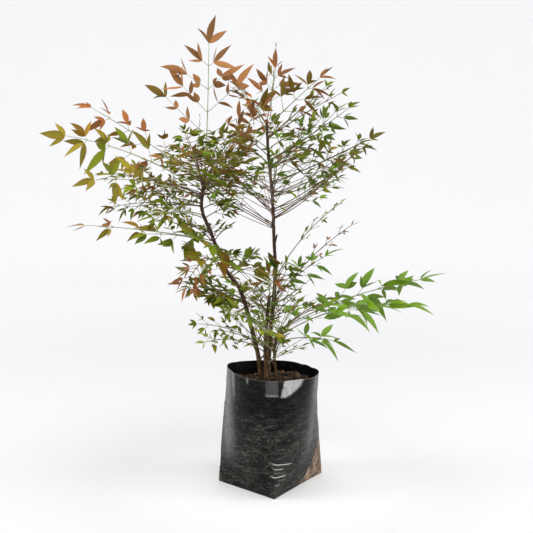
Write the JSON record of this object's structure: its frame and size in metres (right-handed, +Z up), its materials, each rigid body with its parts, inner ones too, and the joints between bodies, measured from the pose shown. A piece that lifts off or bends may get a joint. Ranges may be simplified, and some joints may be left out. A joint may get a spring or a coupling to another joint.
{
  "type": "potted heavenly bamboo shrub",
  "caption": "Upright evergreen shrub with slender canes and feathery compound leaves in autumn tints, growing in a soil-filled bag of black film.",
  "frame": {"origin": "middle of the bag's flat underside", "axes": "+Z up, +X to the plant's right in front view, +Y to its back"},
  "size_m": [0.8297, 0.5852, 1.012],
  "materials": {
    "bag_film": "gloss",
    "potting_soil": "matte",
    "cane_bark": "matte",
    "leaf_amber": "satin",
    "leaf_bright": "satin",
    "leaf_bronze": "satin",
    "leaf_brown": "satin",
    "leaf_copper": "satin",
    "leaf_deep": "satin",
    "leaf_gold": "satin",
    "leaf_green": "satin",
    "leaf_lime": "satin",
    "leaf_olive": "satin",
    "leaf_pale": "satin",
    "leaf_young": "satin"
  },
  "bodies": {
    "root": {"bag": "bag_film", "broken_stub": "cane_bark", "left_cane": "cane_bark", "left_frond_01": "leaf_copper", "left_frond_02": "leaf_copper", "left_frond_03": "leaf_brown", "left_frond_04": "leaf_copper", "left_frond_05": "leaf_olive", "left_frond_06": "leaf_brown", "left_frond_07": "leaf_brown", "left_frond_08": "leaf_olive", "left_frond_09": "leaf_gold", "left_frond_10": "leaf_olive", "left_frond_11": "leaf_gold", "left_frond_12": "leaf_green", "left_frond_13": "leaf_lime", "left_frond_14": "leaf_green", "left_frond_15": "leaf_amber", "left_frond_16": "leaf_lime", "left_frond_17": "leaf_green", "left_frond_18": "leaf_young", "left_frond_19": "leaf_bronze", "left_frond_20": "leaf_bronze", "left_frond_21": "leaf_green", "left_frond_22": "leaf_green", "middle_cane": "cane_bark", "middle_frond_01": "leaf_copper", "middle_frond_02": "leaf_green", "middle_frond_03": "leaf_lime", "middle_frond_04": "leaf_lime", "middle_frond_05": "leaf_lime", "middle_frond_06": "leaf_pale", "right_cane": "cane_bark", "right_frond_01": "leaf_copper", "right_frond_02": "leaf_copper", "right_frond_03": "leaf_copper", "right_frond_04": "leaf_olive", "right_frond_05": "leaf_amber", "right_frond_06": "leaf_green", "right_frond_07": "leaf_green", "right_frond_08": "leaf_bronze", "right_frond_09": "leaf_olive", "right_frond_10": "leaf_olive", "right_frond_11": "leaf_deep", "right_frond_12": "leaf_olive", "right_frond_13": "leaf_brown", "right_frond_14": "leaf_brown", "right_frond_15": "leaf_olive", "right_frond_16": "leaf_pale", "right_frond_17": "leaf_green", "right_frond_18": "leaf_bright", "right_frond_19": "leaf_young", "short_cane": "cane_bark", "short_frond_01": "leaf_bright", "short_frond_02": "leaf_deep", "short_frond_03": "leaf_bright", "short_frond_04": "leaf_bright", "short_frond_05": "leaf_bright", "soil": "potting_soil"}
  },
  "joints": []
}
